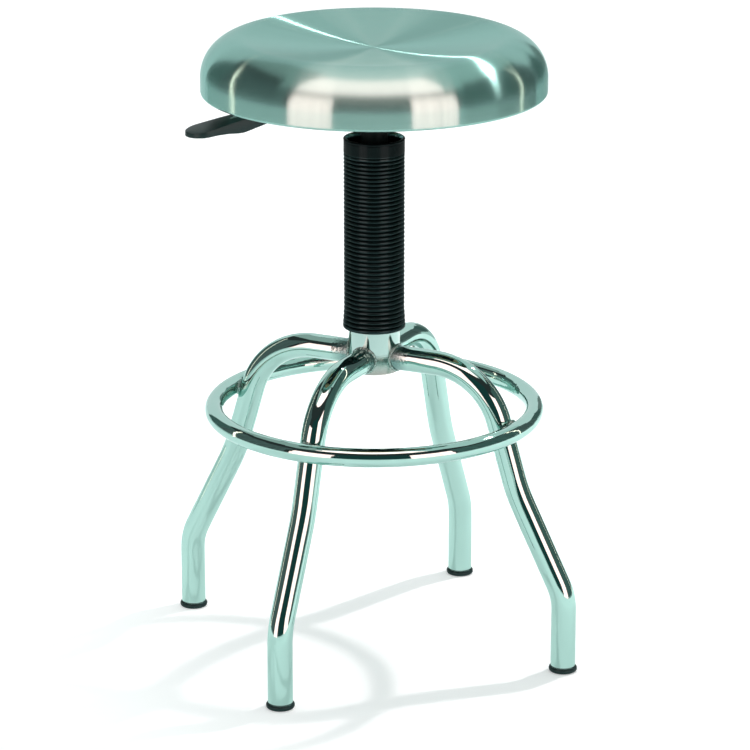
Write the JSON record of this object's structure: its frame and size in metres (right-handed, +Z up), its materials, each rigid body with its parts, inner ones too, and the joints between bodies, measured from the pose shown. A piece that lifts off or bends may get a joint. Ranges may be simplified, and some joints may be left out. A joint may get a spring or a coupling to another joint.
{
  "type": "work stool",
  "caption": "Round dished steel seat on a swivelling gas lift with a ribbed bellows, bent tube legs, a welded foot ring and a paddle lever that sets the height.",
  "frame": {"origin": "on the floor, under the axis of the column", "axes": "+Z up along the column; +X through the right leg, +Y through the rear leg; the lever points between the left and front legs"},
  "size_m": [0.46, 0.46, 0.644],
  "materials": {
    "chrome_tube": "bright plated tube",
    "chrome_weld": "plated weld bead",
    "brushed_seat": "circular brushed",
    "black_plastic": "fine moulded grain",
    "bellows_rubber": "soft satin",
    "black_steel": "satin paint",
    "zinc_steel": "zinc plated",
    "bearing_steel": "ground",
    "guide_plastic": "smooth",
    "seal_rubber": "smooth",
    "valve_metal": "turned",
    "plywood": "sanded"
  },
  "bodies": {
    "frame": {"right_leg": "chrome_tube", "rear_leg": "chrome_tube", "left_leg": "chrome_tube", "front_leg": "chrome_tube", "right_foot_cap": "black_plastic", "rear_foot_cap": "black_plastic", "left_foot_cap": "black_plastic", "front_foot_cap": "black_plastic", "foot_ring": "chrome_tube", "ring_welds": "chrome_weld", "hub_tube": "chrome_tube", "hub_welds": "chrome_weld", "column_tube": "black_steel", "column_end_plate": "zinc_steel", "guide_bush": "guide_plastic", "lower_race": "bearing_steel"},
    "cage": {"ball_cage": "guide_plastic", "bearing_balls": "bearing_steel"},
    "rod": {"upper_race": "bearing_steel", "bumper": "seal_rubber", "piston_rod": "zinc_steel", "retaining_clip": "zinc_steel", "piston": "guide_plastic", "piston_seal": "seal_rubber", "bellows": "bellows_rubber"},
    "seat": {"pressure_tube": "black_steel", "inner_cylinder": "zinc_steel", "rod_guide": "guide_plastic", "rod_seal": "seal_rubber", "valve_body": "valve_metal", "taper_socket": "black_steel", "mounting_plate": "black_steel", "seat_bolts": "zinc_steel", "seat_washers": "zinc_steel", "tee_nuts": "zinc_steel", "lever_bracket": "black_steel", "lever_pin": "zinc_steel", "seat_shell": "brushed_seat", "seat_board": "plywood"},
    "lever": {"lever_rod": "zinc_steel", "lever_paddle": "black_plastic"},
    "pin": {"release_pin": "zinc_steel"}
  },
  "joints": [
    {"name": "seat_swivel", "type": "hinge", "parent": "frame", "child": "rod", "pos_m": [0, 0, 0.308], "axis": [0, 0, 1], "continuous": true},
    {"name": "cage_turn", "type": "hinge", "parent": "frame", "child": "cage", "pos_m": [0, 0, 0.308], "axis": [0, 0, 1], "continuous": true},
    {"name": "seat_height", "type": "slide", "parent": "rod", "child": "seat", "axis": [0, 0, 1], "range_m": [-0.08, 0], "deforming": ["bellows"]},
    {"name": "lever_pull", "type": "hinge", "parent": "seat", "child": "lever", "pos_m": [-0.0297, -0.0297, 0.6019], "axis": [-0.7071, 0.7071, 0], "range_deg": [0, 4], "stiffness_Nm_per_rad": 10, "springref_deg": -11.46},
    {"name": "pin_press", "type": "slide", "parent": "seat", "child": "pin", "axis": [0, 0, 1], "range_m": [-0.003, 0]}
  ],
  "couplings": [
    {"joint": "cage_turn", "follows": "seat_swivel", "ratio": 0.5},
    {"joint": "pin_press", "follows": "lever_pull", "m_per_rad": -0.042}
  ]
}
